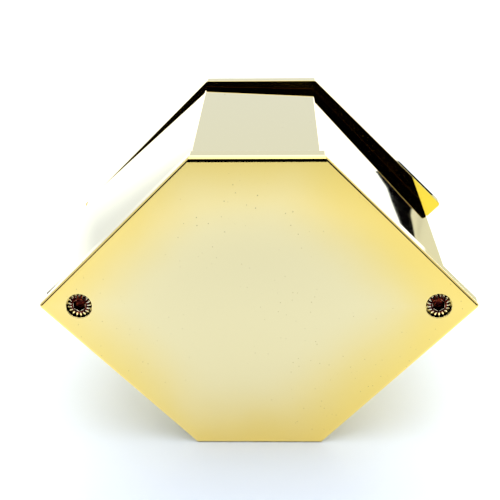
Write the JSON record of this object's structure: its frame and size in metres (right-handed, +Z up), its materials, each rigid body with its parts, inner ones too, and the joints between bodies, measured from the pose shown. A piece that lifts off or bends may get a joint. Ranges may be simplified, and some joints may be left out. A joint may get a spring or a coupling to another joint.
{
  "type": "turning-lid puzzle block",
  "caption": "Mirror-polished gold puzzle block: cut-corner end plates on a slightly smaller shell; the rear plate turns on a sprung spindle and uncovers corner wells.",
  "frame": {"origin": "on the surface that the block rests on, under the middle of its box", "axes": "+X right, across the side corners; +Y from the front plate to the turning rear plate, along the turning axis; +Z up, across the cut faces"},
  "size_m": [0.0802, 0.0594, 0.057],
  "materials": {
    "plate_gold": "mirror-polished gold plating, fine hairlines and specks",
    "shell_gold": "mirror-polished gold plating, drawn along its length",
    "screw_gold": "gold-plated knurled screw, dark in its grooves and socket",
    "steel": "turned and ground steel",
    "dark_steel": "black oxide steel",
    "alloy": "turned, bare",
    "bronze": "oiled sintered bronze",
    "nickel": "nickel-plated magnet",
    "nylon": "natural nylon"
  },
  "bodies": {
    "block": {"front_plate": "plate_gold", "middle_shell": "shell_gold", "left_plate_screw": "screw_gold", "right_plate_screw": "screw_gold", "body_magnets": "nickel", "thrust_washer": "nylon", "rear_bush": "bronze", "front_bush": "bronze", "rear_bulkhead": "alloy", "front_bulkhead": "alloy", "rear_pillar_screws": "dark_steel", "front_pillar_screws": "dark_steel", "core_pillars": "alloy", "core_key": "steel", "core_circlip": "dark_steel", "spring_washer": "steel", "spindle_spring": "steel", "left_pin_tube": "bronze", "right_pin_tube": "bronze"},
    "lid": {"rear_plate": "plate_gold", "lid_spindle": "steel", "flange_screws": "dark_steel", "lid_magnets": "nickel", "nut_washer": "steel", "spindle_nut": "steel"},
    "left_pin": {"left_lock_pin": "steel"},
    "right_pin": {"right_lock_pin": "steel"}
  },
  "joints": [
    {"name": "lid_turn", "type": "hinge", "parent": "block", "child": "lid", "pos_m": [0, 0, 0.0285], "axis": [0, 1, 0], "continuous": true},
    {"name": "left_pin_slide", "type": "slide", "parent": "block", "child": "left_pin", "axis": [0, 1, 0], "range_m": [0, 0.003]},
    {"name": "right_pin_slide", "type": "slide", "parent": "block", "child": "right_pin", "axis": [0, 1, 0], "range_m": [0, 0.003]}
  ]
}
